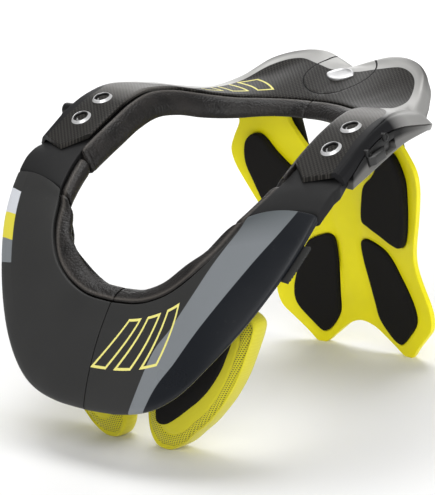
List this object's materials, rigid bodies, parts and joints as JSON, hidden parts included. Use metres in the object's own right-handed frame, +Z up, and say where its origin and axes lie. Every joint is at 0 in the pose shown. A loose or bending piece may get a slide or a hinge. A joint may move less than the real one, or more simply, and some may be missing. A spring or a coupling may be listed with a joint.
{
  "type": "motocross neck brace",
  "caption": "Rigid motocross neck brace: padded collar that opens on one side, carbon-look rear deck, padded chest supports and a winged back stabilizer with foam inserts.",
  "frame": {"origin": "on the floor under the middle of the brace's outer box, as it stands on its chest supports and stabilizer feet", "axes": "+Z up, -Y towards the wearer's front, +X towards the wearer's left"},
  "size_m": [0.2638, 0.3032, 0.216],
  "materials": {
    "matte_cover": "soft-touch matt near-black",
    "black_plastic": "satin black",
    "carbon_shell": "semi-gloss woven fibre",
    "silver_paint": "satin silver-grey paint",
    "yellow_plastic": "satin bright yellow",
    "yellow_cloth": "matt bright yellow padded cloth",
    "black_foam": "matt moulded foam",
    "pad_leather": "soft fine-grained black",
    "chrome": "bright",
    "black_screw": "black oxide"
  },
  "bodies": {
    "rear_body": {"side_link_left": "black_plastic", "side_link_right": "black_plastic", "side_pad_left": "pad_leather", "side_pad_right": "pad_leather", "rear_shell_left": "carbon_shell", "rear_shell_right": "carbon_shell", "rear_base_left": "silver_paint", "rear_base_right": "silver_paint", "rear_hub": "carbon_shell", "hub_badge": "chrome", "rear_pad_left": "pad_leather", "rear_pad_right": "pad_leather", "eyelet_front_left": "chrome", "eyelet_front_right": "chrome", "eyelet_rear_left": "chrome", "eyelet_rear_right": "chrome", "screw_front_left": "black_screw", "screw_front_right": "black_screw", "screw_rear_left": "black_screw", "screw_rear_right": "black_screw", "lever_pin_left": "chrome", "lever_pin_right": "chrome", "stabilizer_post_left": "black_plastic", "stabilizer_post_right": "black_plastic", "back_stabilizer": "yellow_plastic", "upper_insert_left": "black_foam", "upper_insert_right": "black_foam", "lower_insert_left": "black_foam", "lower_insert_right": "black_foam"},
    "front_body": {"front_cover_left": "matte_cover", "front_cover_right": "matte_cover", "front_frame": "black_plastic", "front_pad_left": "pad_leather", "front_pad_right": "pad_leather", "chest_pad_left": "yellow_cloth", "chest_pad_right": "yellow_cloth", "chest_panel_left": "black_foam", "chest_panel_right": "black_foam"},
    "lever_left": {"release_lever_left": "black_plastic"},
    "lever_right": {"release_lever_right": "black_plastic"}
  },
  "joints": [
    {"name": "front_swing", "type": "hinge", "parent": "rear_body", "child": "front_body", "pos_m": [-0.1265, -0.07, 0.155], "axis": [0, 0, -1], "range_deg": [0, 60]},
    {"name": "lever_left_pull", "type": "hinge", "parent": "rear_body", "child": "lever_left", "pos_m": [0.12268, 0.0028, 0.18898], "axis": [0, -0.2506, 0.9681], "range_deg": [0, 25], "stiffness_Nm_per_rad": 0.02},
    {"name": "lever_right_pull", "type": "hinge", "parent": "rear_body", "child": "lever_right", "pos_m": [-0.12268, 0.0028, 0.18898], "axis": [0, 0.2506, -0.9681], "range_deg": [0, 25], "stiffness_Nm_per_rad": 0.02}
  ]
}
